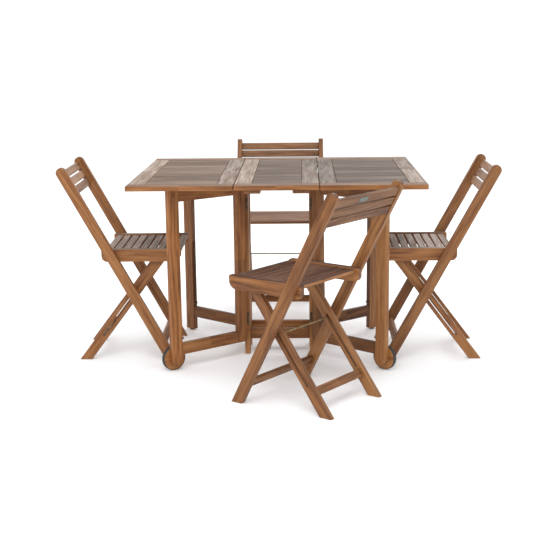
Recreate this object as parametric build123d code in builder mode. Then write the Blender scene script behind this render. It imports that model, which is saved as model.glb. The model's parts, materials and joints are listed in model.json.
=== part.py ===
"""Patio dining set: a gateleg table with two drop leaves and four folding slatted chairs.

All sizes are millimetres. The origin is on the floor under the middle of the table,
+X runs along the table top's long side, +Y to the back of the table and +Z up.
"""
import os
from math import atan2, cos, degrees, radians, sin

from build123d import *

os.makedirs("parts", exist_ok=True)

# --- table top -------------------------------------------------------------------
TABLE_HEIGHT = 740.0
TABLE_LENGTH = 1096.0  # along X, leaves up
TABLE_DEPTH = 922.0  # along Y
TOP_THICK = 18.0
BOARD = 62.0  # width of the frame boards of each panel
HINGE_X = 156.0  # leaf hinge line, from the middle of the table
PANEL_GAP = 3.0  # gap between the centre panel and a leaf
SLAT_COUNT = 8
SLAT_GAP = 3.5
SLAT_THICK = 13.0
SLAT_DROP = 0.8  # slats lie this far below the frame boards
TONGUE = 6.0  # length of a slat's tongue in the frame board's groove
TONGUE_THICK = 5.0
BATTEN_WIDTH = 59.5
BATTEN_THICK = 12.5
BATTEN_X = 87.75
BATTEN_LENGTH = 904.0
EASE = 1.6  # rounding of the boards' edges
JOINT_LINE = 0.1  # hairline where two boards meet

TOP_UNDER = TABLE_HEIGHT - TOP_THICK
SLAT_FIELD = TABLE_DEPTH - 2 * BOARD
SLAT_PITCH = SLAT_FIELD / SLAT_COUNT
SLAT_Z = TABLE_HEIGHT - SLAT_DROP - SLAT_THICK / 2
PANELS = {
    "leaf_left": (-TABLE_LENGTH / 2, -HINGE_X - PANEL_GAP / 2),
    "centre": (-HINGE_X + PANEL_GAP / 2, HINGE_X - PANEL_GAP / 2),
    "leaf_right": (HINGE_X + PANEL_GAP / 2, TABLE_LENGTH / 2),
}

# --- butt hinges -----------------------------------------------------------------
HINGE_LENGTH = 50.0
KNUCKLE_R = 3.5
KNUCKLE_MID = 20.0  # length of the middle knuckle, which carries the pin
PIN_R = 1.8
PIN_PLAY = 0.05
PLATE = 1.5
LEAF_HINGE_YS = (-300.0, 0.0, 300.0)
LEAF_PLATE_WIDTH = 22.5
LEAF_HINGE_Z = TOP_UNDER - 2.6
KNUCKLE_SPLIT = 0.4  # end play between the knuckles

# --- base ------------------------------------------------------------------------
POST_X = 131.0
POST_SIZE = (22.0, 45.0)
POST_Y = 63.5
GLIDE_HIGH = 3.0
GLIDE_R = 8.0
LOW_RAIL = (62.5, 108.5)  # bottom and top of the lower rails
HIGH_RAIL = (660.0, 713.0)
SIDE_RAIL_HIGH = (676.0, TOP_UNDER - JOINT_LINE)
STRETCHER_TOP = 104.5
RAIL_THICK = 20.0

# --- gates -----------------------------------------------------------------------
GATE_OPEN = 39.0  # degrees between an open gate and the X axis
PIN_X = 145.5
PIN_Y = 88.5
GATE_REACH = 335.0  # hinge pin to the middle of the gate's leg
GATE_SKIN = 3.5  # hinge pin to the gate's back face
GATE_THICK = 23.0
GATE_RAIL_THICK = 19.0
LEG_WIDTH = 46.0
STILE = (2.5, 46.0)  # stile's two edges, from the pin
LEG_TOP = TOP_UNDER - 0.5
BACK_FOOT_HIGH = 6.0
BACK_FOOT_R = 9.0
FRONT_LEG_BOTTOM = 25.5
LEG_END_ROUND = 20.0  # corners of a front leg's lower end
GATE_HINGE_ZS = (150.0, 618.0)
GATE_PLATE = 19.0
WHEEL_R = 48.5
TYRE_THICK = 1.8
WHEEL_WIDE = 16.0
WHEEL_GAP = 0.8  # between wheel and leg
AXLE_R = 4.0
CATCH_Z = 126.0
CATCH = (4.5, 4.0, 2.5, 6.0)  # knob radius and height, shank radius and length
GATES = {
    "gate_front_left": (-1, -1),
    "gate_front_right": (1, -1),
    "gate_back_left": (-1, 1),
    "gate_back_right": (1, 1),
}
GATE_MID = GATE_SKIN + GATE_THICK / 2

# --- chairs ----------------------------------------------------------------------
# In a chair's own axes x is the sitter's right, y forward and z up, from the floor.
CHAIRS = {
    "chair_front": (199.0, -694.0, 143.2),
    "chair_right": (701.0, -1.0, 179.6),
    "chair_left": (-704.0, 8.0, 0.9),
    "chair_back": (-11.0, 812.0, -89.9),
}
POST_FOOT_Y = 275.5
POST_HEAD = (-133.0, 758.0)  # centre of the post's rounded head
CHAIR_POST = 40.4  # width of a post, seen from the side
CHAIR_POST_THICK = 21.5
CHAIR_WIDTH = 411.5
LEG_FOOT_Y = -78.6
LEG_PIVOT = (236.7, 416.5)
CHAIR_LEG = 38.5
CHAIR_LEG_THICK = 22.0
LEGS_WIDTH = 318.0
SEAT_TOP = 454.7
SEAT_RAIL = 50.2
SEAT_ENDS = (4.6, 318.0)
SEAT_WIDTH = 366.4
SEAT_RAIL_THICK = 22.0
SEAT_SLATS = 9
SEAT_SLAT = (27.5, 12.0)
SEAT_SLAT_PITCH = 34.0
SEAT_SLAT_FRONT = 303.0
SEAT_SLAT_DROP = 5.0
PIVOT_DROP = 22.0  # seat pivot below the top of the seat rail
BACK_SLATS = 3
BACK_SLAT = (32.0, 12.0)
BACK_SLAT_PITCH = 38.0
BACK_SLAT_FIRST = 12.0  # first back slat below the centre of the post's head
BACK_SLAT_SET = 11.0  # back slats behind the middle of the posts
CROSSBAR = (30.0, 15.0)
POST_BAR_Z = 74.0
LEG_BAR_Z = 78.0
ROD_R = 3.0
ROD_DROP = 12.0  # rod below the crossing of the centre lines, along the leg
SLOT_WIDE = 11.0
SLOT_TRAVEL = (184.0, 394.0)  # slot's ends, from the leg's pivot
BOLT_R = 4.0
BOLT_PLAY = 0.05
BOLT_HEAD = (8.0, 3.4)
HEAD_GAP = 0.3
SHUT_END = 4.0  # wood left over the end of a blind hole
LABEL = (50.0, 17.0, 1.2)
LABEL_X = -30.0

POST_SLOPE = (POST_HEAD[0] - POST_FOOT_Y) / POST_HEAD[1]
LEG_SLOPE = (LEG_PIVOT[0] - LEG_FOOT_Y) / LEG_PIVOT[1]
POST_LEAN = degrees(atan2(-POST_SLOPE, 1))
LEG_LEAN = degrees(atan2(LEG_SLOPE, 1))
SEAT_PIVOT_Z = SEAT_TOP - PIVOT_DROP
SEAT_PIVOT = (POST_FOOT_Y + POST_SLOPE * SEAT_PIVOT_Z, SEAT_PIVOT_Z)
CROSSING_Z = (POST_FOOT_Y - LEG_FOOT_Y) / (LEG_SLOPE - POST_SLOPE)
ROD_Z = CROSSING_Z - ROD_DROP * cos(radians(LEG_LEAN))
ROD_Y = LEG_FOOT_Y + LEG_SLOPE * ROD_Z


def keep(built, label):
    """Label one finished piece and write it to its own file."""
    built.part.label = label
    export_step(built.part, f"parts/{label}.step")


def side_plane(chair, x):
    """A chair's side view at x: sketch x is forward, sketch y is up."""
    return Plane(origin=chair.from_local_coords((x, 0, 0)), x_dir=chair.y_dir, z_dir=chair.x_dir)


def on_post(down, behind):
    """Side-view point this far down from a post's head and behind its centre line."""
    lean = radians(POST_LEAN)
    y = POST_HEAD[0] + down * sin(lean) - behind * cos(lean)
    z = POST_HEAD[1] - down * cos(lean) - behind * sin(lean)
    return y, z


# === table top ===================================================================
def hinge_side(x_from, x_to):
    """Panel edges that carry leaf hinges, as +1 or -1 for the way the wood lies from the gap."""
    sides = []
    if abs(abs(x_from) - HINGE_X) < PANEL_GAP:
        sides.append((x_from, 1))
    if abs(abs(x_to) - HINGE_X) < PANEL_GAP:
        sides.append((x_to, -1))
    return sides


def panel_frame(name, x_from, x_to):
    """Two long rails and two end boards round one panel's slats."""
    length = x_to - x_from
    middle = (x_from + x_to) / 2
    board_z = TABLE_HEIGHT - TOP_THICK / 2
    rail_y = (TABLE_DEPTH - BOARD) / 2
    end_x = (length - BOARD) / 2
    with BuildPart() as frame:
        with Locations((middle, -rail_y, board_z), (middle, rail_y, board_z)):
            Box(length, BOARD, TOP_THICK)
        with Locations((middle - end_x, 0, board_z), (middle + end_x, 0, board_z)):
            Box(BOARD, SLAT_FIELD - 2 * JOINT_LINE, TOP_THICK)
        fillet(frame.edges(), EASE)
        with Locations((middle, 0, SLAT_Z)):
            Box(
                length - 2 * BOARD + 2 * TONGUE + 1,
                SLAT_FIELD - 2 * SLAT_GAP,
                TONGUE_THICK + 0.4,
                mode=Mode.SUBTRACT,
            )
        for edge_x, way in hinge_side(x_from, x_to):
            for y in LEAF_HINGE_YS:
                with Locations((edge_x + way * LEAF_PLATE_WIDTH / 2, y, TOP_UNDER + PLATE / 2)):
                    Box(LEAF_PLATE_WIDTH + 4, HINGE_LENGTH + 0.6, PLATE, mode=Mode.SUBTRACT)
    keep(frame, f"{name}_frame")


def panel_slats(name, x_from, x_to):
    """Slats along X, each with a thin tongue that sits in the end boards' grooves."""
    inner = x_to - x_from - 2 * BOARD
    middle = (x_from + x_to) / 2
    with BuildPart() as slats:
        with GridLocations(0, SLAT_PITCH, 1, SLAT_COUNT):
            with Locations((middle, 0, SLAT_Z)):
                Box(inner - 3, SLAT_PITCH - SLAT_GAP, SLAT_THICK)
        fillet(slats.edges(), EASE)
        with GridLocations(0, SLAT_PITCH, 1, SLAT_COUNT):
            with Locations((middle, 0, SLAT_Z)):
                Box(inner + 2 * TONGUE, SLAT_PITCH - 14, TONGUE_THICK)
    keep(slats, f"{name}_slats")


def battens():
    """Two flat boards under the centre panel that tie it together."""
    with BuildPart() as ties:
        with Locations(
            (-BATTEN_X, 0, TOP_UNDER - BATTEN_THICK / 2), (BATTEN_X, 0, TOP_UNDER - BATTEN_THICK / 2)
        ):
            Box(BATTEN_WIDTH, BATTEN_LENGTH, BATTEN_THICK)
        fillet(ties.edges(), EASE)
    keep(ties, "centre_battens")


def leaf_hinges_fixed():
    """Hinge halves let into the centre panel: plate, middle knuckle and pin."""
    with BuildPart() as plates:
        for side in (-1, 1):
            axis_x = side * HINGE_X
            plate_x = axis_x - side * (PANEL_GAP / 2 + 1.9 + LEAF_PLATE_WIDTH / 2)
            neck_x = axis_x - side * 2.4
            for y in LEAF_HINGE_YS:
                with Locations((plate_x, y, TOP_UNDER + PLATE / 2)):
                    Box(LEAF_PLATE_WIDTH, HINGE_LENGTH, PLATE)
                with Locations((neck_x, y, TOP_UNDER + PLATE / 2)):
                    Box(4.4, KNUCKLE_MID, PLATE)
                with Locations(Location((axis_x, y, LEAF_HINGE_Z), (90, 0, 0))):
                    Cylinder(KNUCKLE_R, KNUCKLE_MID)
                    Cylinder(PIN_R, HINGE_LENGTH)
    keep(plates, "leaf_hinge_plates")


def leaf_hinges_moving(name, side):
    """Hinge halves let into one leaf: plate and the two outer knuckles, bored for the pin."""
    axis_x = side * HINGE_X
    plate_x = axis_x + side * (PANEL_GAP / 2 + 1.9 + LEAF_PLATE_WIDTH / 2)
    neck_x = axis_x + side * 2.4
    knuckle = (HINGE_LENGTH - KNUCKLE_MID) / 2 - KNUCKLE_SPLIT
    reach = (HINGE_LENGTH - knuckle) / 2
    with BuildPart() as plates:
        for y in LEAF_HINGE_YS:
            with Locations((plate_x, y, TOP_UNDER + PLATE / 2)):
                Box(LEAF_PLATE_WIDTH, HINGE_LENGTH, PLATE)
            for end in (y - reach, y + reach):
                with Locations((neck_x, end, TOP_UNDER + PLATE / 2)):
                    Box(4.4, knuckle, PLATE)
                with Locations(Location((axis_x, end, LEAF_HINGE_Z), (90, 0, 0))):
                    Cylinder(KNUCKLE_R, knuckle)
        for y in LEAF_HINGE_YS:
            with Locations(Location((axis_x, y, LEAF_HINGE_Z), (90, 0, 0))):
                Cylinder(PIN_R + PIN_PLAY, HINGE_LENGTH + 2, mode=Mode.SUBTRACT)
    keep(plates, f"{name}_hinges")


# === base ========================================================================
def base_posts():
    """Four posts that stand on glides and carry the centre panel."""
    with BuildPart() as posts:
        with GridLocations(2 * POST_X, 2 * POST_Y, 2, 2):
            with Locations((0, 0, (GLIDE_HIGH + TOP_UNDER) / 2)):
                Box(POST_SIZE[0], POST_SIZE[1], TOP_UNDER - GLIDE_HIGH)
        fillet(posts.edges(), EASE)
    keep(posts, "base_posts")


def base_glides():
    """Plastic glides under the four posts."""
    with BuildPart() as glides:
        with BuildSketch():
            with GridLocations(2 * POST_X, 2 * POST_Y, 2, 2):
                Circle(GLIDE_R)
        extrude(amount=GLIDE_HIGH)
    keep(glides, "base_glides")


def base_side_rails():
    """Upper and lower rails along Y that join each pair of posts."""
    between = 2 * POST_Y - POST_SIZE[1] - 2 * JOINT_LINE
    with BuildPart() as rails:
        for low, high in (LOW_RAIL, SIDE_RAIL_HIGH):
            with Locations((-POST_X, 0, (low + high) / 2), (POST_X, 0, (low + high) / 2)):
                Box(RAIL_THICK, between, high - low)
        fillet(rails.edges(), EASE)
    keep(rails, "base_side_rails")


def base_stretchers():
    """Front and back bars along X between the two side frames."""
    between = 2 * POST_X - POST_SIZE[0] - 2 * JOINT_LINE
    middle_z = (LOW_RAIL[0] + STRETCHER_TOP) / 2
    with BuildPart() as bars:
        with Locations((0, -POST_Y, middle_z), (0, POST_Y, middle_z)):
            Box(between, RAIL_THICK, STRETCHER_TOP - LOW_RAIL[0])
        fillet(bars.edges(), EASE)
    keep(bars, "base_stretchers")


# === gates =======================================================================
def gate_plane(side_x, side_y, angle=GATE_OPEN):
    """Plane on the floor under the hinge pin, with its x along the gate."""
    along = (side_x * cos(radians(angle)), side_y * sin(radians(angle)), 0)
    return Plane(origin=(side_x * PIN_X, side_y * PIN_Y, 0), x_dir=along, z_dir=(0, 0, 1))


def gate_frame(name, side_x, side_y):
    """Leg, hinged stile and two rails of one gate."""
    hand = side_x * side_y
    mid = hand * GATE_MID
    front = side_y < 0
    leg_bottom = FRONT_LEG_BOTTOM if front else BACK_FOOT_HIGH
    leg_edge = GATE_REACH - LEG_WIDTH / 2
    stile_mid = (STILE[0] + STILE[1]) / 2
    with BuildPart(gate_plane(side_x, side_y)) as frame:
        with Locations((GATE_REACH, mid, (leg_bottom + LEG_TOP) / 2)):
            Box(LEG_WIDTH, GATE_THICK, LEG_TOP - leg_bottom)
        if front:
            ends = frame.edges().group_by(Axis.Z)[0].filter_by(GeomType.LINE)
            fillet(ends.filter_by(Axis((0, 0, 0), gate_plane(side_x, side_y).y_dir)), LEG_END_ROUND)
        with Locations((stile_mid, mid, (LOW_RAIL[0] + HIGH_RAIL[1]) / 2)):
            Box(STILE[1] - STILE[0], GATE_THICK, HIGH_RAIL[1] - LOW_RAIL[0])
        for low, high in (LOW_RAIL, HIGH_RAIL):
            with Locations(((STILE[1] + leg_edge) / 2, mid, (low + high) / 2)):
                Box(leg_edge - STILE[1] - 2 * JOINT_LINE, GATE_RAIL_THICK, high - low)
        fillet(frame.edges(), EASE)
        if front:
            with Locations(Location((GATE_REACH, mid - hand * SHUT_END, WHEEL_R), (90, 0, 0))):
                Cylinder(AXLE_R + BOLT_PLAY, GATE_THICK, mode=Mode.SUBTRACT)
    keep(frame, f"{name}_frame")


def gate_hinges_fixed():
    """Hinge halves on the posts' end faces: plate, middle knuckle and pin."""
    post_face = POST_Y + POST_SIZE[1] / 2
    plate_x = POST_X + POST_SIZE[0] / 2 - GATE_PLATE / 2
    with BuildPart() as plates:
        for side_x, side_y in GATES.values():
            for z in GATE_HINGE_ZS:
                with Locations((side_x * plate_x, side_y * (post_face + PLATE / 2), z)):
                    Box(GATE_PLATE, PLATE, HINGE_LENGTH)
                with Locations((side_x * (PIN_X - 2.2), side_y * (post_face + PLATE / 2), z)):
                    Box(5.0, PLATE, KNUCKLE_MID)
                with Locations((side_x * PIN_X, side_y * PIN_Y, z)):
                    Cylinder(KNUCKLE_R, KNUCKLE_MID)
                    Cylinder(PIN_R, HINGE_LENGTH)
    keep(plates, "gate_hinge_posts")


def gate_hardware(name, side_x, side_y):
    """Moving hinge halves on the stile's edge, and the small catch on the leg."""
    hand = side_x * side_y
    knuckle = (HINGE_LENGTH - KNUCKLE_MID) / 2 - KNUCKLE_SPLIT
    reach = (HINGE_LENGTH - knuckle) / 2
    plate_s = STILE[0] - PLATE / 2
    leg_edge = GATE_REACH - LEG_WIDTH / 2
    with BuildPart(gate_plane(side_x, side_y)) as metal:
        for z in GATE_HINGE_ZS:
            with Locations((plate_s, hand * (GATE_SKIN + 0.8 + GATE_PLATE / 2), z)):
                Box(PLATE, GATE_PLATE, HINGE_LENGTH)
            for end in (z - reach, z + reach):
                with Locations((plate_s, hand * 2.4, end)):
                    Box(PLATE, 4.8, knuckle)
                with Locations((0, 0, end)):
                    Cylinder(KNUCKLE_R, knuckle)
        for z in GATE_HINGE_ZS:
            with Locations((0, 0, z)):
                Cylinder(PIN_R + PIN_PLAY, HINGE_LENGTH + 2, mode=Mode.SUBTRACT)
        knob_r, knob_high, shank_r, shank = CATCH
        with Locations(Location((leg_edge - shank / 2, hand * GATE_MID, CATCH_Z), (0, 90, 0))):
            Cylinder(shank_r, shank)
        with Locations(Location((leg_edge - shank - knob_high / 2, hand * GATE_MID, CATCH_Z), (0, 90, 0))):
            Cylinder(knob_r, knob_high)
    keep(metal, f"{name}_hardware")


def gate_foot(name, side_x, side_y):
    """Round plastic glide under a back gate's leg."""
    with BuildPart(gate_plane(side_x, side_y)) as foot:
        with Locations((GATE_REACH, side_x * side_y * GATE_MID, BACK_FOOT_HIGH / 2)):
            Cylinder(BACK_FOOT_R, BACK_FOOT_HIGH)
    keep(foot, f"{name}_foot")


def wheel(name, side_x, side_y):
    """Wooden wheel disc, rubber tyre and axle bolt behind a front gate's leg."""
    hand = side_x * side_y
    centre_n = GATE_SKIN - WHEEL_GAP - WHEEL_WIDE / 2
    spot = Location((GATE_REACH, hand * centre_n, WHEEL_R), (90, 0, 0))
    rim_r = WHEEL_R - TYRE_THICK
    with BuildPart(gate_plane(side_x, side_y)) as disc:
        with Locations(spot):
            Cylinder(rim_r - 0.03, WHEEL_WIDE - 1)
        fillet(disc.edges(), 1.0)
        with Locations(spot):
            Cylinder(AXLE_R + BOLT_PLAY, WHEEL_WIDE + 2, mode=Mode.SUBTRACT)
    keep(disc, f"{name}_disc")
    with BuildPart(gate_plane(side_x, side_y)) as tyre:
        with Locations(spot):
            Cylinder(WHEEL_R, WHEEL_WIDE)
        fillet(tyre.edges(), 0.8)
        with Locations(spot):
            Cylinder(rim_r, WHEEL_WIDE + 2, mode=Mode.SUBTRACT)
    keep(tyre, f"{name}_tyre")
    head_r, head_high = BOLT_HEAD
    front_n = GATE_SKIN + GATE_THICK - SHUT_END
    back_n = GATE_SKIN - WHEEL_GAP - WHEEL_WIDE
    with BuildPart(gate_plane(side_x, side_y)) as axle:
        with Locations(Location((GATE_REACH, hand * ((front_n + back_n) / 2 - 0.5), WHEEL_R), (90, 0, 0))):
            Cylinder(AXLE_R, front_n - back_n)
        with Locations(Location((GATE_REACH, hand * (back_n - head_high / 2), WHEEL_R), (90, 0, 0))):
            Cylinder(head_r, head_high)
        fillet(axle.edges().filter_by(GeomType.CIRCLE).group_by(Edge.length)[-1], 1.2)
    keep(axle, f"{name}_axle")


# === chairs ======================================================================
def slanting_pair(chair, outer, thick, foot_y, head, slope, width):
    """Two like bars in side view: level at the floor, slanting, round at the head."""
    lean = atan2(slope, 1)
    half = width / 2
    foot = half / cos(lean)
    tip = (head[0] + half * sin(lean), head[1] + half * cos(lean))
    fore = (head[0] + half * cos(lean), head[1] - half * sin(lean))
    aft = (head[0] - half * cos(lean), head[1] + half * sin(lean))
    with BuildPart() as pair:
        for start in (-outer, outer - thick):
            with BuildSketch(side_plane(chair, start)):
                with BuildLine():
                    Line((foot_y - foot, 0), (foot_y + foot, 0))
                    Line((foot_y + foot, 0), fore)
                    ThreePointArc(fore, tip, aft)
                    Line(aft, (foot_y - foot, 0))
                make_face()
            extrude(amount=thick)
        sides = pair.faces().filter_by(Axis(chair.origin, chair.x_dir))
        fillet(sides.edges(), 2.5)
    return pair


def crossbar(chair, length, y, z, lean):
    """Flat board from side to side, leaning with the bars it joins."""
    with BuildPart(chair) as bar:
        with Locations(Location((0, y, z), (lean, 0, 0))):
            Box(length, CROSSBAR[1], CROSSBAR[0])
        fillet(bar.edges(), EASE)
    return bar


def back_frame(name, chair):
    """Two posts that run from the head of the back to the front feet, and their crossbar."""
    outer = CHAIR_WIDTH / 2
    posts = slanting_pair(
        chair, outer, CHAIR_POST_THICK, POST_FOOT_Y, POST_HEAD, POST_SLOPE, CHAIR_POST
    )
    bar_y = POST_FOOT_Y + POST_SLOPE * POST_BAR_Z
    length = 2 * (outer - CHAIR_POST_THICK - JOINT_LINE)
    bar = crossbar(chair, length, bar_y, POST_BAR_Z, POST_LEAN)
    with BuildPart() as frame:
        add(posts.part)
        add(bar.part)
        with BuildSketch(side_plane(chair, SHUT_END - outer)):
            with Locations(SEAT_PIVOT):
                Circle(BOLT_R + BOLT_PLAY)
            with Locations((ROD_Y, ROD_Z)):
                Circle(ROD_R + BOLT_PLAY)
        extrude(amount=CHAIR_WIDTH - 2 * SHUT_END, mode=Mode.SUBTRACT)
    keep(frame, f"{name}_back_frame")


def back_slats(name, chair):
    """Slats between the posts, from the head down."""
    inner = CHAIR_WIDTH / 2 - CHAIR_POST_THICK - JOINT_LINE
    with BuildPart(chair) as slats:
        for index in range(BACK_SLATS):
            y, z = on_post(BACK_SLAT_FIRST + index * BACK_SLAT_PITCH, BACK_SLAT_SET)
            with Locations(Location((0, y, z), (POST_LEAN, 0, 0))):
                Box(2 * inner, BACK_SLAT[1], BACK_SLAT[0])
        fillet(slats.edges(), 2.5)
    keep(slats, f"{name}_back_slats")


def cross_rod(name, chair):
    """Steel rod set in the posts' inner faces, which runs in the legs' slots."""
    with BuildPart(chair) as rod:
        with Locations(Location((0, ROD_Y, ROD_Z), (0, 90, 0))):
            Cylinder(ROD_R, CHAIR_WIDTH - 2 * SHUT_END - 0.4)
    keep(rod, f"{name}_cross_rod")


def seat_rails(name, chair):
    """Side rails of the seat, rounded under both ends."""
    outer = SEAT_WIDTH / 2
    rear, nose = SEAT_ENDS
    under = SEAT_TOP - SEAT_RAIL
    with BuildPart() as rails:
        for start in (-outer, outer - SEAT_RAIL_THICK):
            with BuildSketch(side_plane(chair, start)):
                with BuildLine():
                    FilletPolyline(
                        (rear, under),
                        (nose, under),
                        (nose, SEAT_TOP),
                        (rear, SEAT_TOP),
                        radius=[22.0, 32.0, 5.0, 5.0],
                        close=True,
                    )
                make_face()
            extrude(amount=SEAT_RAIL_THICK)
        sides = rails.faces().filter_by(Axis(chair.origin, chair.x_dir))
        fillet(sides.edges(), 2.0)
        with BuildSketch(side_plane(chair, -outer - 1)):
            with Locations(SEAT_PIVOT):
                Circle(BOLT_R + BOLT_PLAY)
        extrude(amount=SEAT_WIDTH + 2, mode=Mode.SUBTRACT)
        with BuildSketch(side_plane(chair, SHUT_END - outer)):
            with Locations(LEG_PIVOT):
                Circle(BOLT_R + BOLT_PLAY)
        extrude(amount=SEAT_WIDTH - 2 * SHUT_END, mode=Mode.SUBTRACT)
    keep(rails, f"{name}_seat_rails")


def seat_slats(name, chair):
    """Slats of the seat, side to side between the rails."""
    length = SEAT_WIDTH - 2 * (SEAT_RAIL_THICK + JOINT_LINE)
    slat_z = SEAT_TOP - SEAT_SLAT_DROP - SEAT_SLAT[1] / 2
    with BuildPart(chair) as slats:
        for index in range(SEAT_SLATS):
            with Locations((0, SEAT_SLAT_FRONT - index * SEAT_SLAT_PITCH, slat_z)):
                Box(length, SEAT_SLAT[0], SEAT_SLAT[1])
        fillet(slats.edges(), 2.0)
    keep(slats, f"{name}_seat_slats")


def pivot_bolts(name, chair):
    """Seat bolts that end inside the posts, and leg bolts with heads inside the legs."""
    head_r, head_high = BOLT_HEAD
    rail_in = SEAT_WIDTH / 2 - SEAT_RAIL_THICK
    rail_end = SEAT_WIDTH / 2 - SHUT_END
    post_end = CHAIR_WIDTH / 2 - SHUT_END - HEAD_GAP
    leg_in = LEGS_WIDTH / 2 - CHAIR_LEG_THICK - HEAD_GAP
    with BuildPart(chair) as bolts:
        for side in (-1, 1):
            with Locations(Location((side * (rail_in + 0.5 + post_end) / 2, *SEAT_PIVOT), (0, 90, 0))):
                Cylinder(BOLT_R, post_end - rail_in - 0.5)
            with Locations(Location((side * (leg_in - 1 + rail_end) / 2, *LEG_PIVOT), (0, 90, 0))):
                Cylinder(BOLT_R, rail_end - leg_in + 1)
            with Locations(Location((side * (leg_in - head_high / 2), *LEG_PIVOT), (0, 90, 0))):
                Cylinder(head_r, head_high)
        fillet(bolts.edges().filter_by(GeomType.CIRCLE).group_by(Edge.length)[-1], 1.2)
    keep(bolts, f"{name}_pivot_bolts")


def leg_frame(name, chair):
    """Two slotted legs from the front of the seat to the rear feet, and their crossbar."""
    outer = LEGS_WIDTH / 2
    slot_from, slot_to = SLOT_TRAVEL
    slot_mid = (slot_from + slot_to) / 2
    lean = radians(LEG_LEAN)
    slot_spot = (LEG_PIVOT[0] - slot_mid * sin(lean), LEG_PIVOT[1] - slot_mid * cos(lean))
    legs = slanting_pair(chair, outer, CHAIR_LEG_THICK, LEG_FOOT_Y, LEG_PIVOT, LEG_SLOPE, CHAIR_LEG)
    bar_y = LEG_FOOT_Y + LEG_SLOPE * LEG_BAR_Z
    length = 2 * (outer - CHAIR_LEG_THICK - JOINT_LINE)
    bar = crossbar(chair, length, bar_y, LEG_BAR_Z, -LEG_LEAN)
    with BuildPart() as frame:
        add(legs.part)
        add(bar.part)
        with BuildSketch(side_plane(chair, -outer - 1)):
            with Locations(LEG_PIVOT):
                Circle(BOLT_R + BOLT_PLAY)
            with Locations(slot_spot):
                SlotCenterToCenter(slot_to - slot_from, SLOT_WIDE, rotation=90 - LEG_LEAN)
        extrude(amount=LEGS_WIDTH + 2, mode=Mode.SUBTRACT)
    keep(frame, f"{name}_leg_frame")


def blank_label(name, chair):
    """Small blank metal plate on the rear of the top back slat."""
    behind = BACK_SLAT_SET + BACK_SLAT[1] / 2 + LABEL[2] / 2
    y, z = on_post(BACK_SLAT_FIRST, behind)
    with BuildPart(chair) as label:
        with Locations(Location((LABEL_X, y, z), (POST_LEAN, 0, 0))):
            Box(LABEL[0], LABEL[2], LABEL[1])
    keep(label, f"{name}_label")


# === everything ==================================================================
for panel, (left, right) in PANELS.items():
    panel_frame(panel, left, right)
    panel_slats(panel, left, right)
battens()
leaf_hinges_fixed()
leaf_hinges_moving("leaf_left", -1)
leaf_hinges_moving("leaf_right", 1)
base_posts()
base_glides()
base_side_rails()
base_stretchers()
gate_hinges_fixed()
for gate, (gate_x, gate_y) in GATES.items():
    gate_frame(gate, gate_x, gate_y)
    gate_hardware(gate, gate_x, gate_y)
    if gate_y > 0:
        gate_foot(gate, gate_x, gate_y)
    else:
        wheel(gate.replace("gate_front", "wheel"), gate_x, gate_y)
for chair_name, (chair_x, chair_y, heading) in CHAIRS.items():
    right_way = (sin(radians(heading)), -cos(radians(heading)), 0)
    seat_plane = Plane(origin=(chair_x, chair_y, 0), x_dir=right_way, z_dir=(0, 0, 1))
    back_frame(chair_name, seat_plane)
    back_slats(chair_name, seat_plane)
    cross_rod(chair_name, seat_plane)
    seat_rails(chair_name, seat_plane)
    seat_slats(chair_name, seat_plane)
    pivot_bolts(chair_name, seat_plane)
    leg_frame(chair_name, seat_plane)
    if chair_name == "chair_front":
        blank_label(chair_name, seat_plane)
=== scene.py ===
# %% [markdown]
# # A garden dining set in weathered hardwood
#
# The set is a gateleg table with two drop leaves and four folding slatted chairs. The boards were
# cut and joined in a CAD program, and they come in here as a fixed frame: nothing in it is moved.
# This lesson gives that frame its finishes (oiled and weathered wood, plated steel, rubber),
# adds the small fittings, and sets up a floor, soft light and a camera.

# %% Load the frame
import json
from math import atan2, cos, degrees, radians, sin

import bpy
from mathutils import Matrix, Vector


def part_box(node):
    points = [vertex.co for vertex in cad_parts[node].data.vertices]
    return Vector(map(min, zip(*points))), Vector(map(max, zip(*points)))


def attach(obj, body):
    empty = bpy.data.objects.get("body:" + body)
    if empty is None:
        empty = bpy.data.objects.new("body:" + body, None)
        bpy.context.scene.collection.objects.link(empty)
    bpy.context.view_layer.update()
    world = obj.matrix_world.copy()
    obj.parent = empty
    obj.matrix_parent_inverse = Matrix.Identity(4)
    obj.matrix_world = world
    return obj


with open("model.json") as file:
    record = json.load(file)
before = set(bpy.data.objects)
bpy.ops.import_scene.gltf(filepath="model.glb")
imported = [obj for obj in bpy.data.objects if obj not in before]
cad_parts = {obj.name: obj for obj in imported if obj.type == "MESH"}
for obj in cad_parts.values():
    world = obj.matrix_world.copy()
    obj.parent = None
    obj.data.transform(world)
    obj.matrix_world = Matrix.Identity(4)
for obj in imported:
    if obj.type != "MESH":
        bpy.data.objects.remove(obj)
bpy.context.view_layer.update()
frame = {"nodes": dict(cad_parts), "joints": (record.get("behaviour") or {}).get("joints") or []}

nodes = frame["nodes"]

# %% [markdown]
# ## Shader maths in plain Python
#
# A wood finish needs a lot of small sums: add two noises, scale one, clip another. Each sum is a
# Math node. Wiring them one at a time is slow to write and hard to read, so a small class wraps a
# socket and turns Python's own operators into Math nodes. Every other kind of node comes
# from one method of the finish it belongs to.

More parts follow.
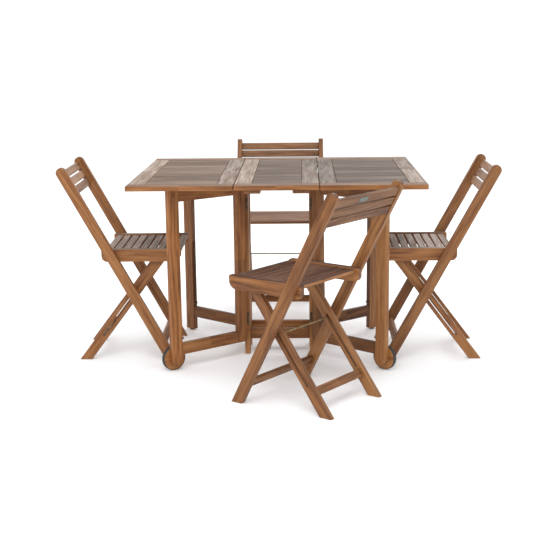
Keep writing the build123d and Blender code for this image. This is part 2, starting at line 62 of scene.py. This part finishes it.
# %% A wire and a finish
class Wire:
    """One output socket; arithmetic on it adds Math nodes."""

    def __init__(self, finish, socket):
        self.finish = finish
        self.socket = socket

    def maths(self, operation, *values):
        return self.finish.node("ShaderNodeMath", {"operation": operation}, dict(enumerate(values)))

    def __add__(self, other):
        return self.maths("ADD", self, other)

    def __radd__(self, other):
        return self.maths("ADD", other, self)

    def __sub__(self, other):
        return self.maths("SUBTRACT", self, other)

    def __rsub__(self, other):
        return self.maths("SUBTRACT", other, self)

    def __mul__(self, other):
        return self.maths("MULTIPLY", self, other)

    def __rmul__(self, other):
        return self.maths("MULTIPLY", other, self)

    def __gt__(self, other):
        return self.maths("GREATER_THAN", self, other)

    def __lt__(self, other):
        return self.maths("LESS_THAN", self, other)

    def __abs__(self):
        return self.maths("ABSOLUTE", self)

    def wave(self):
        """Sine of this many turns, from 0 to 1."""
        turns = self * 6.2832
        return 0.5 + 0.5 * self.finish.node("ShaderNodeMath", {"operation": "SINE"}, {0: turns})

    def whole(self):
        return self.maths("FLOOR", self)


class Finish:
    """A new material, and the one way to add nodes to it."""

    def __init__(self, title):
        self.material = bpy.data.materials.new(title)
        self.material.use_nodes = True
        self.tree = self.material.node_tree
        self.tree.nodes.clear()

    def node(self, kind, settings, values, out=0):
        made = self.tree.nodes.new(kind)
        for name, value in settings.items():
            if name == "stops":
                ramp = made.color_ramp.elements
                while len(ramp) < len(value):
                    ramp.new(1.0)
                for stop, (position, colour) in zip(ramp, value):
                    stop.position = position
                    stop.color = (*colour, 1.0)
            else:
                setattr(made, name, value)
        for name, value in values.items():
            if isinstance(value, Wire):
                self.tree.links.new(value.socket, made.inputs[name])
            else:
                made.inputs[name].default_value = value
        return Wire(self, made.outputs[out]) if made.outputs else None

    def smooth(self, value, low, high):
        return self.node(
            "ShaderNodeMapRange",
            {"interpolation_type": "SMOOTHSTEP"},
            {"Value": value, "From Min": low, "From Max": high},
        )

    def noise(self, place, stretch, detail=3.0, rough=0.55):
        scaled = self.node("ShaderNodeVectorMath", {"operation": "MULTIPLY"}, {0: place, 1: stretch})
        return self.node(
            "ShaderNodeTexNoise", {}, {"Vector": scaled, "Scale": 1.0, "Detail": detail, "Roughness": rough}
        )

    def blend(self, share, first, second):
        first, second = (c if isinstance(c, Wire) else (*c, 1.0) for c in (first, second))
        return self.node("ShaderNodeMix", {"data_type": "RGBA"}, {0: share, 6: first, 7: second}, 2)

    def ramp(self, value, *stops):
        return self.node("ShaderNodeValToRGB", {"stops": stops}, {"Fac": value})

    def parts(self, vector):
        return [self.node("ShaderNodeSeparateXYZ", {}, {"Vector": vector}, out) for out in range(3)]

    def turned(self, vector, at, turn):
        """The vector as seen from a board that sits at one place, turned by three angles."""
        place = {"Vector": vector, "Location": at, "Rotation": turn}
        return self.node("ShaderNodeMapping", {"vector_type": "TEXTURE"}, place)

    def surface(self, colour, roughness, bump, depth, **fixed):
        """Finish off with a Principled shader. Fixed values go straight on its sockets."""
        relief = self.node("ShaderNodeBump", {}, {"Height": bump, "Distance": depth, "Strength": 0.6})
        values = {"Base Color": colour, "Roughness": roughness, "Normal": relief}
        values.update({name.replace("_", " "): value for name, value in fixed.items()})
        shader = self.node("ShaderNodeBsdfPrincipled", {}, values)
        self.node("ShaderNodeOutputMaterial", {}, {"Surface": shader})
        return self.material


print("Shader helpers ready")

# %% [markdown]
# ## Weathered hardwood
#
# The real boards are oiled orange-brown hardwood. Rain and sun have turned their upper faces
# grey-brown, and whitish where the oil has gone, while the edges stay orange. One recipe
# makes every board. It works in the board's own directions, so the grain runs along it: long
# streaks, wavy rings, fine pores, and darker end grain. An image texture would repeat on every
# board; noise with a different start for each board never does.

# %% Tones of the wood
OILED = ((0.062, 0.018, 0.004), (0.215, 0.079, 0.020), (0.370, 0.165, 0.052))
WORN = ((0.036, 0.021, 0.013), (0.108, 0.064, 0.040), (0.220, 0.150, 0.108))
PALE = ((0.060, 0.042, 0.034), (0.185, 0.138, 0.112), (0.380, 0.315, 0.275))
DARK = ((0.023, 0.010, 0.006), (0.076, 0.034, 0.022), (0.168, 0.088, 0.060))
SILVER = (0.46, 0.39, 0.335)
END_GRAIN = (0.060, 0.022, 0.009)
ORDER = {"x": (0, 1, 2), "y": (1, 0, 2), "z": (2, 0, 1)}


def timber(title, grain, at=(0, 0, 0), turn=(0, 0, 0), piece=None, cross=None, cross_grain="x",
           worn=0.25, silver=0.0, rail_worn=1.0, rail_silver=1.0, top=WORN, gain=1.0):
    """Wood whose grain runs along one direction, or along a second where cross says so."""
    fin = Finish(title)
    place = fin.turned(fin.node("ShaderNodeTexCoord", {}, {}, "Object"), at, turn)
    outward = fin.node("ShaderNodeTexCoord", {}, {}, "Normal")
    facing = fin.parts(fin.turned(outward, (0, 0, 0), turn))
    spot = fin.parts(place)
    along, wide, deep = (spot[i] for i in ORDER[grain])
    end_on = abs(facing[ORDER[grain][0]])
    number = piece(*spot) if piece else spot[0] * 0.0
    bleached = silver
    weathered = worn
    if cross:
        mask = cross(*spot)
        other = [spot[i] for i in ORDER[cross_grain]]
        along, wide, deep = (a + mask * (b - a) for a, b in zip((along, wide, deep), other))
        end_on = end_on + mask * (abs(facing[ORDER[cross_grain][0]]) - end_on)
        number = number + mask * 5.0
        bleached = silver - mask * (silver * (1.0 - rail_silver))
        weathered = worn - mask * (worn * (1.0 - rail_worn))
    chance = fin.node("ShaderNodeTexWhiteNoise", {"noise_dimensions": "1D"}, {"W": number + 0.37})
    grained = fin.node(
        "ShaderNodeCombineXYZ", {}, {"X": along + chance * 9.0, "Y": wide + chance * 3.0, "Z": deep}
    )
    warp = fin.noise(grained, (2.2, 11.0, 11.0), 2.0)
    rings = (wide * 34.0 + deep * 22.0 + chance * 5.0 + warp * 5.0).wave()
    streaks = fin.noise(grained, (4.5, 95.0, 95.0), 5.0, 0.68)
    pores = fin.noise(grained, (26.0, 520.0, 520.0), 2.0, 0.6)
    broad = fin.noise(grained, (2.5, 16.0, 16.0), 3.0)
    figure = streaks * 0.62 + rings * 0.10 + pores * 0.22 + broad * 0.22 + (chance - 0.5) * 0.16
    figure = fin.smooth(figure, 0.26, 0.86)
    oiled = fin.ramp(figure, (0.0, OILED[0]), (0.45, OILED[1]), (1.0, OILED[2]))
    aged = fin.ramp(figure, (0.0, top[0]), (0.45, top[1]), (1.0, top[2]))
    upward = fin.smooth(fin.parts(outward)[2], 0.30, 0.72)
    patch = fin.smooth(fin.noise(grained, (3.5, 80.0, 80.0), 5.0, 0.72) + streaks * 0.5, 0.48, 1.08)
    bare = fin.smooth(fin.noise(grained, (3.0, 9.0, 9.0), 2.0), 0.30, 0.62)
    colour = fin.blend(upward * weathered, oiled, aged)
    colour = fin.blend(patch * bare * (upward * bleached), colour, SILVER)
    ends = fin.smooth(end_on, 0.6, 0.85)
    colour = fin.blend(ends * 0.55, colour, END_GRAIN)
    share = gain(*spot) if callable(gain) else gain
    colour = fin.node("ShaderNodeVectorMath", {"operation": "SCALE"}, {0: colour, "Scale": share})
    roughness = 0.44 + upward * (0.22 * worn) + (1.0 - figure) * 0.14
    return fin.surface(colour, roughness, streaks * 0.7 + pores * 0.3, 0.0006, Specular_IOR_Level=0.35)


def wear(material, *names):
    """Give CAD nodes a finish by filling their material slots."""
    for name in names:
        mesh = nodes[name].data
        mesh.materials.clear()
        mesh.materials.append(material)
    print(material.name, "on", len(names), "nodes")


# %% [markdown]
# ## The table top
#
# Each panel has long rails across its front and back and end boards between them, so the grain
# changes direction where rail and board meet. That line is found from the panel's own
# box: anything beyond the slats, towards the front or back, is a rail. Slats are numbered
# by their place so that each gets its own streaks. The panels have not aged alike: the left leaf
# is the palest, and some end boards are darker than their neighbours, so each has its own gain.

# %% Finish the three panels and the battens
SLATS = 8
RAIL_GAP = 0.002
rail_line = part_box("centre_slats")[1][1] + RAIL_GAP
slat_pitch = 2 * rail_line / SLATS
for panel, silver, board_gain, strip_gain in (
    ("leaf_left", 1.0, lambda x, y, z: 1.12 - (x > middle) * 0.24, 0.87),
    ("centre", 0.8, lambda x, y, z: 1.0 - (x > 0.0) * 0.32, 0.56),
    ("leaf_right", 0.75, lambda x, y, z: 0.92 - (x < middle) * 0.38, 0.52),
):
    panel_low, panel_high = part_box(f"{panel}_frame")
    middle = (panel_low[0] + panel_high[0]) / 2
    boards = timber(
        f"{panel} boards", "y",
        piece=lambda x, y, z: (x > middle) + (y > 0.0) * 2.0,
        cross=lambda x, y, z: abs(y) > rail_line,
        worn=0.95, silver=silver, rail_worn=0.75, rail_silver=0.15,
        gain=lambda x, y, z: 1.0 + (board_gain(x, y, z) - 1.0) * (abs(y) < rail_line),
    )
    wear(boards, f"{panel}_frame")
    strips = timber(
        f"{panel} strips", "x",
        piece=lambda x, y, z: (y * (1 / slat_pitch)).whole() + (20.0 + 9.0 * middle),
        worn=0.88, silver=0.24, gain=strip_gain,
    )
    wear(strips, f"{panel}_slats")
wear(timber("battens", "y", piece=lambda x, y, z: x > 0.0), "centre_battens")

# %% [markdown]
# ## The base and the gates
#
# Posts and gate legs stand upright and their rails lie level. The base is square with the table,
# but each gate stands open at an angle, so its finish is turned to match. The hinge pins' places
# come from the record of joints, and the angle is the one that the gates stand open at.

# %% Finish the base
RAIL_SPLIT = 0.4  # between the lower and the upper rails
wear(timber("base uprights", "z", piece=lambda x, y, z: (x > 0.0) + (y > 0.0) * 2.0), "base_posts")
wear(timber("side rails", "y", piece=lambda x, y, z: (x > 0.0) + (z > RAIL_SPLIT) * 2.0), "base_side_rails")
wear(timber("stretchers", "x", piece=lambda x, y, z: (y > 0.0) + 11.0), "base_stretchers")

# %% Finish the gates
joints = {joint["name"]: joint for joint in frame["joints"]}
GATE_ANGLE = 39.0
STILE_EDGE = 0.046
LEG_EDGE = 0.312
GATE_HALFWAY = 0.18
gates = {}


def on_rail(x):
    """Between the stile and the leg, where a gate's grain runs level."""
    return (x > STILE_EDGE) * (x < LEG_EDGE)


# The per-gate gains are painted light: the front left gate is painted brighter and the front right gate
# darker, to even out the lamps lighting the right one more.
for gate, side_x, side_y, painted_light_gain in (
    ("gate_front_left", -1, -1, 1.2), ("gate_front_right", 1, -1, 0.9),
    ("gate_back_left", -1, 1, 1.0), ("gate_back_right", 1, 1, 1.0),
):
    pin = joints[f"{gate}_swing"]["pos_m"]
    heading = atan2(side_y * sin(radians(GATE_ANGLE)), side_x * cos(radians(GATE_ANGLE)))
    gates[gate] = (pin, heading, side_x * side_y)
    first_piece = 30.0 + side_x * 7.0 + side_y * 13.0
    wear(
        timber(
            f"{gate} wood", "z", at=(pin[0], pin[1], 0), turn=(0, 0, heading),
            piece=lambda x, y, z: (x > GATE_HALFWAY) + (z > RAIL_SPLIT) * 2.0 * on_rail(x) + first_piece,
            cross=lambda x, y, z: on_rail(x),
            # Painted light in the gain: a brighter front left gate and a darker front right gate; each
            # gate's stile and lower rail are made darker as well.
            gain=lambda x, y, z: painted_light_gain - (x < LEG_EDGE) * (z < RAIL_SPLIT) * 0.3,
        ),
        f"{gate}_frame",
    )

# %% [markdown]
# ## The chairs
#
# A folding chair's posts and legs lean, so their finish leans too: the pattern is turned about the
# chair's side-to-side direction by the same angle as the wood. That direction is the axis of the
# chair's folding joint, which the record holds. The two end chairs have weathered more than
# the front one, whose seat is still dark.

# %% Finish the chairs
POST_LEAN = radians(28.32)
LEG_LEAN = radians(37.12)
POST_INSIDE = 0.1842
LEG_INSIDE = 0.1369
BACK_SLAT_PITCH = 0.038
SEAT_SLAT_PITCH = 0.034
SEAT_SLAT_START = 0.0013
chair_turns = {}
for number, (chair, seat_worn, seat_silver, seat_top, post_gain, back_gain) in enumerate((
    ("chair_front", 0.95, 0.08, DARK, 0.82, 0.66), ("chair_right", 0.95, 0.60, PALE, 0.74, 0.9),
    ("chair_left", 0.95, 0.50, PALE, 0.9, 0.9), ("chair_back", 0.30, 0.0, WORN, 0.85, 0.72),
)):
    fold = joints[f"{chair}_fold"]
    turn = atan2(fold["axis"][1], fold["axis"][0])
    centre = (fold["pos_m"][0], fold["pos_m"][1], 0)
    chair_turns[chair] = turn
    shift = 50.0 + number * 17.0
    across_posts = lambda x, y, z: abs(x) < POST_INSIDE
    across_legs = lambda x, y, z: abs(x) < LEG_INSIDE
    pair = lambda x, y, z: (x > 0.0) + shift
    wear(
        timber(f"{chair} posts", "z", centre, (POST_LEAN, 0, turn), pair, across_posts, gain=post_gain),
        f"{chair}_back_frame",
    )
    wear(
        timber(f"{chair} legs", "z", centre, (-LEG_LEAN, 0, turn), pair, across_legs, gain=0.9),
        f"{chair}_leg_frame",
    )
    wear(
        timber(f"{chair} seat sides", "y", centre, (0, 0, turn), pair, worn=seat_worn, top=seat_top),
        f"{chair}_seat_rails",
    )
    back_strips = lambda x, y, z: (z * (1 / BACK_SLAT_PITCH)).whole() + shift + 3.0
    wear(
        timber(f"{chair} back slats", "x", centre, (POST_LEAN, 0, turn), back_strips,
               worn=0.45, silver=seat_silver, top=seat_top, gain=back_gain),
        f"{chair}_back_slats",
    )
    seat_strips = lambda x, y, z: ((y + SEAT_SLAT_START) * (1 / SEAT_SLAT_PITCH)).whole() + shift + 6.0
    wear(
        timber(f"{chair} seat slats", "x", centre, (0, 0, turn), seat_strips,
               worn=seat_worn, silver=seat_silver, top=seat_top),
        f"{chair}_seat_slats",
    )

# %% [markdown]
# ## Metal, rubber and plastic
#
# The rods, bolts and hinges are steel with a dull yellow plating, blotched and scuffed. The wheels
# are turned wooden discs in thin rubber tyres, and the feet are black plastic. Each metal or rubber
# part is nearly one colour on the real thing, and what makes it read as real is the change in its
# shine, so most of the work is in the roughness.

# %% Finish the fittings
def plated(title, bright, dull):
    fin = Finish(title)
    place = fin.node("ShaderNodeTexCoord", {}, {}, "Object")
    blotches = fin.smooth(fin.noise(place, (60.0, 60.0, 60.0), 4.0, 0.6), 0.35, 0.7)
    scuffs = fin.noise(place, (420.0, 420.0, 420.0), 3.0, 0.7)
    colour = fin.blend(blotches * 0.8 + scuffs * 0.2, bright, dull)
    return fin.surface(colour, 0.28 + blotches * 0.22 + scuffs * 0.12, scuffs, 0.0002, Metallic=1.0)


def black_rubber(title, at, turn, ribs):
    fin = Finish(title)
    place = fin.turned(fin.node("ShaderNodeTexCoord", {}, {}, "Object"), at, turn)
    across = fin.parts(place)[1]
    dust = fin.smooth(fin.noise(place, (70.0, 70.0, 70.0), 4.0), 0.45, 0.8)
    ridge = (across * ribs).wave()
    colour = fin.blend(dust * 0.35, (0.016, 0.016, 0.017), (0.10, 0.088, 0.075))
    return fin.surface(colour, 0.62 + dust * 0.2, ridge + dust * 0.3, 0.0005)


brassy = plated("yellow plated steel", (0.36, 0.28, 0.13), (0.17, 0.12, 0.055))
dark_steel = plated("aged plated steel", (0.16, 0.12, 0.075), (0.07, 0.05, 0.035))
wear(brassy, *(name for name in nodes if name.endswith(("cross_rod", "pivot_bolts", "axle"))))
wear(dark_steel, *(name for name in nodes if "hinge" in name or name.endswith("hardware")))
for side in ("left", "right"):
    pin, heading, hand = gates[f"gate_front_{side}"]
    hub = joints[f"wheel_{side}_roll"]["pos_m"]
    wear(black_rubber(f"{side} tyre rubber", hub, (0, 0, heading), 420.0), f"wheel_{side}_tyre")
    wear(timber(f"{side} wheel wood", "x", at=hub, turn=(0, 0, heading), worn=0.1), f"wheel_{side}_disc")
wear(
    black_rubber("black glides", (0, 0, 0), (0, 0, 0), 0.0),
    "base_glides", "gate_back_left_foot", "gate_back_right_foot",
)


def brushed_label(title, at, turn):
    fin = Finish(title)
    place = fin.turned(fin.node("ShaderNodeTexCoord", {}, {}, "Object"), at, turn)
    x, y, z = fin.parts(place)
    brush = fin.noise(place, (40.0, 900.0, 2600.0), 3.0, 0.7)
    border = fin.smooth(abs(x), 0.0214, 0.0220) * (1.0 - fin.smooth(abs(x), 0.0226, 0.0232))
    colour = fin.blend(brush, (0.12, 0.135, 0.125), (0.18, 0.195, 0.185))
    colour = fin.blend(border * 0.6, colour, (0.06, 0.06, 0.055))
    return fin.surface(colour, 0.30 + brush * 0.25, brush, 0.0001, Metallic=0.85)


label_low, label_high = (Vector(corner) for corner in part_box("chair_front_label"))
label_middle = (label_low + label_high) / 2
label_turn = (POST_LEAN, 0, chair_turns["chair_front"])
wear(brushed_label("blank label plate", label_middle, label_turn), "chair_front_label")

# %% [markdown]
# ## Screws in the hinge plates
#
# Every hinge plate on the base's posts is held by screws with round heads, sunk in the middle. One head is
# modelled: a short cylinder, its top inset and sunk for the driver, its rim bevelled.
# The rest are copies, each turned to face out of its plate.

# %% Helpers for modelling by hand
def start(add, **where):
    """Deselect everything, then add one primitive and return it."""
    if bpy.context.object and bpy.context.object.mode != "OBJECT":
        bpy.ops.object.mode_set(mode="OBJECT")
    bpy.ops.object.select_all(action="DESELECT")
    add(**where)
    return bpy.context.object


def choose(piece, kind, test):
    """In edit mode, select only the faces or edges whose middle passes a test."""
    bpy.ops.object.mode_set(mode="EDIT")
    bpy.ops.mesh.select_all(action="DESELECT")
    bpy.ops.mesh.select_mode(type=kind)
    bpy.ops.object.mode_set(mode="OBJECT")
    mesh = piece.data
    things = mesh.polygons if kind == "FACE" else mesh.edges
    for thing in things:
        corners = [mesh.vertices[i].co for i in thing.vertices]
        thing.select = test(sum(corners, Vector()) / len(corners), corners)
    bpy.ops.object.mode_set(mode="EDIT")


def done(piece):
    """Back to object mode, with the piece's place applied to its mesh."""
    bpy.ops.object.mode_set(mode="OBJECT")
    bpy.ops.object.select_all(action="DESELECT")
    piece.select_set(True)
    bpy.context.view_layer.objects.active = piece
    bpy.ops.object.transform_apply(location=True, rotation=True, scale=True)
    bpy.ops.object.shade_smooth_by_angle(angle=radians(35))
    return piece


def copies(model, name, places):
    """One object made of copies of a model's mesh, one at each place."""
    bpy.ops.object.select_all(action="DESELECT")
    made = []
    for place in places:
        twin = bpy.data.objects.new(name, model.data.copy())
        twin.data.transform(place)
        bpy.context.collection.objects.link(twin)
        twin.select_set(True)
        made.append(twin)
    bpy.context.view_layer.objects.active = made[0]
    if len(made) > 1:
        bpy.ops.object.join()
    whole = bpy.context.object
    whole.name = name
    return whole


def outwards(x, y, z):
    """Turns a piece's +Z to point this way."""
    return Vector((x, y, z)).to_track_quat("Z", "Y").to_matrix().to_4x4()


# %% Model one screw head
screw = start(bpy.ops.mesh.primitive_cylinder_add, vertices=20, radius=0.0029, depth=0.0016)
choose(screw, "FACE", lambda middle, corners: middle.z > 0.0007)
bpy.ops.mesh.inset(thickness=0.0009, depth=0.0)
bpy.ops.mesh.inset(thickness=0.0006, depth=-0.0006)
choose(screw, "EDGE", lambda middle, corners: all(c.z > 0.0007 and c.xy.length > 0.0027 for c in corners))
bpy.ops.mesh.bevel(offset=0.0005, segments=3)
done(screw)
print("Screw head with", len(screw.data.polygons), "faces")

# %% Place the screws
HINGE_HEIGHTS = (0.150, 0.618)
SCREW_STEPS = (-0.017, 0.017)
SCREW_X = 0.1305
screw_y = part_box("base_posts")[1][1] + 0.0021
screw_places = []
for side_x in (-1, 1):
    for side_y in (-1, 1):
        for hinge_z in HINGE_HEIGHTS:
            for step in SCREW_STEPS:
                spot = Vector((side_x * SCREW_X, side_y * screw_y, hinge_z + step))
                screw_places.append(Matrix.Translation(spot) @ outwards(0, side_y, 0))
hinge_screws = copies(screw, "hinge_screws", screw_places)
hinge_screws.data.materials.append(dark_steel)
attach(hinge_screws, "table_base")
print(len(screw_places), "screws")

# %% [markdown]
# ## Plugs over the gate screws
#
# Each gate's rails are screwed through its leg, and the holes are closed with small wooden plugs
# that stand a hair proud. A plug is a short disc with a soft rim, and a little darker than the leg
# around it.

# %% Model and place the plugs
plug = start(bpy.ops.mesh.primitive_cylinder_add, vertices=24, radius=0.0042, depth=0.0012)
choose(plug, "EDGE", lambda middle, corners: all(c.z > 0.0005 for c in corners))
bpy.ops.mesh.bevel(offset=0.0004, segments=2)
done(plug)
plug_wood = timber("plug wood", "z", worn=0.0, gain=0.6)
GATE_REACH = 0.335
GATE_FACE = 0.0265
PLUG_LOW, PLUG_OVER_WHEEL, PLUG_HIGH = 0.0855, 0.118, 0.6865
for gate, (pin, heading, hand) in gates.items():
    away = Vector((cos(heading), sin(heading), 0))
    face = Vector((-sin(heading), cos(heading), 0)) * hand
    foot = Vector((pin[0], pin[1], 0)) + away * GATE_REACH + face * (GATE_FACE - 0.0001)
    low_plug = PLUG_OVER_WHEEL if gate.startswith("gate_front") else PLUG_LOW
    spots = [foot + Vector((0, 0, z)) for z in (low_plug, PLUG_HIGH)]
    leg_plugs = copies(plug, f"{gate}_plugs", [Matrix.Translation(s) @ outwards(*face) for s in spots])
    leg_plugs.data.materials.append(plug_wood)
    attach(leg_plugs, gate)
print("Plugs on", len(gates), "gates")

# %% [markdown]
# ## The stay that hooks the gates together
#
# A long steel stay hangs from an eye on the inner edge of the back left leg. It is a thin bar with
# a ring at its top and a hooked end. The bar starts as a cylinder, whose lower end is extruded in
# four short steps to make the hook, and the ring is a torus.

# %% Model the stay
pin, heading, hand = gates["gate_back_left"]
away = Vector((cos(heading), sin(heading), 0))
face = Vector((-sin(heading), cos(heading), 0)) * hand
edge = Vector((pin[0], pin[1], 0)) + away * (LEG_EDGE - 0.0035) + face * 0.015
STAY_TOP, STAY_END = 0.390, 0.142
bar = start(
    bpy.ops.mesh.primitive_cylinder_add, vertices=14, radius=0.0022, depth=STAY_TOP - STAY_END,
    location=(0, 0, (STAY_TOP + STAY_END) / 2),
)
bpy.ops.object.transform_apply(location=True, rotation=False, scale=False)
choose(bar, "FACE", lambda middle, corners: middle.z < STAY_END + 0.0005)
for move in ((0, 0, -0.003), (-0.001, 0, -0.0025), (-0.003, 0, -0.0015), (-0.003, 0, 0.0015)):
    bpy.ops.mesh.extrude_region_move(TRANSFORM_OT_translate={"value": move})
done(bar)
ring = start(
    bpy.ops.mesh.primitive_torus_add, major_radius=0.0052, minor_radius=0.0016, major_segments=24,
    minor_segments=10, location=(0, 0, STAY_TOP + 0.0040), rotation=(radians(90), 0, 0),
)
done(ring)
bpy.ops.object.select_all(action="DESELECT")
bar.select_set(True)
ring.select_set(True)
bpy.context.view_layer.objects.active = bar
bpy.ops.object.join()
bar.name = "gate_stay"
bar.data.transform(Matrix.Translation(edge) @ Matrix.Rotation(heading, 4, "Z"))
bar.data.materials.clear()
bar.data.materials.append(dark_steel)
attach(bar, "gate_back_left")
print("Stay with", len(bar.data.polygons), "faces")

# %% Put the models away
for model in (screw, plug):
    bpy.data.objects.remove(model)

# %% [markdown]
# ## Floor and light
#
# The set stands on a plain white floor in even light, so the shadows are soft and lie close to the
# feet. A bright sky gives most of the light from all round, and two large lamps add a little shape:
# one high in front and one behind for the top of the table.

# %% Floor, sky and lamps
floor = start(bpy.ops.mesh.primitive_plane_add, size=60.0, location=(0, 0, 0))
floor.name = "floor"
paper = Finish("white paper")
grey = paper.noise(paper.node("ShaderNodeTexCoord", {}, {}, "Object"), (0.6, 0.6, 0.6), 2.0)
white = paper.blend(grey, (0.875, 0.895, 0.915), (0.895, 0.915, 0.935))
floor.data.materials.append(
    paper.surface(
        white, 0.9 + grey * 0.05, grey, 0.0001,
        Specular_IOR_Level=0.0, Emission_Strength=0.10, Emission_Color=(1, 1, 1, 1),
    )
)

sky = bpy.data.worlds.new("studio sky")
bpy.context.scene.world = sky
sky.use_nodes = True
sky.node_tree.nodes["Background"].inputs["Color"].default_value = (1, 1, 1, 1)
sky.node_tree.nodes["Background"].inputs["Strength"].default_value = 1.12


def lamp(name, spot, target, size, power):
    bpy.ops.object.select_all(action="DESELECT")
    bpy.ops.object.light_add(type="AREA", location=spot)
    light = bpy.context.object
    light.name = name
    light.data.size = size
    light.data.energy = power
    light.rotation_euler = (Vector(target) - Vector(spot)).to_track_quat("-Z", "Y").to_euler()
    return light


lamp("front lamp", (-0.3, -3.4, 3.6), (0, 0, 0.4), 2.6, 90)
lamp("back lamp", (1.2, 3.0, 3.4), (0, 0, 0.5), 3.0, 70)
bpy.context.scene.view_settings.view_transform = "Standard"

# %% [markdown]
# ## Camera
#
# The camera stands in front of the set, a little right of its middle and above the table top, and
# looks slightly down with a long lens, which keeps the upright legs nearly parallel.

# %% Place the camera
tilt, yaw, roll = radians(12.48), radians(-1.26), radians(-0.58)
forward = Vector((sin(yaw) * cos(tilt), cos(yaw) * cos(tilt), -sin(tilt)))
level = Vector((cos(yaw), -sin(yaw), 0))
over = level.cross(forward)
right = level * cos(roll) + over * sin(roll)
up = over * cos(roll) - level * sin(roll)
camera_data = bpy.data.cameras.new("camera")
camera_data.sensor_width = 36.0
camera_data.lens = 71.57
camera_data.clip_end = 100.0
camera = bpy.data.objects.new("camera", camera_data)
bpy.context.collection.objects.link(camera)
turned = Matrix((right, up, -forward)).transposed().to_4x4()
camera.matrix_world = Matrix.Translation((0.0937, -4.4302, 1.2746)) @ turned
bpy.context.scene.camera = camera
print("Camera looks down by", round(degrees(tilt), 2), "degrees")
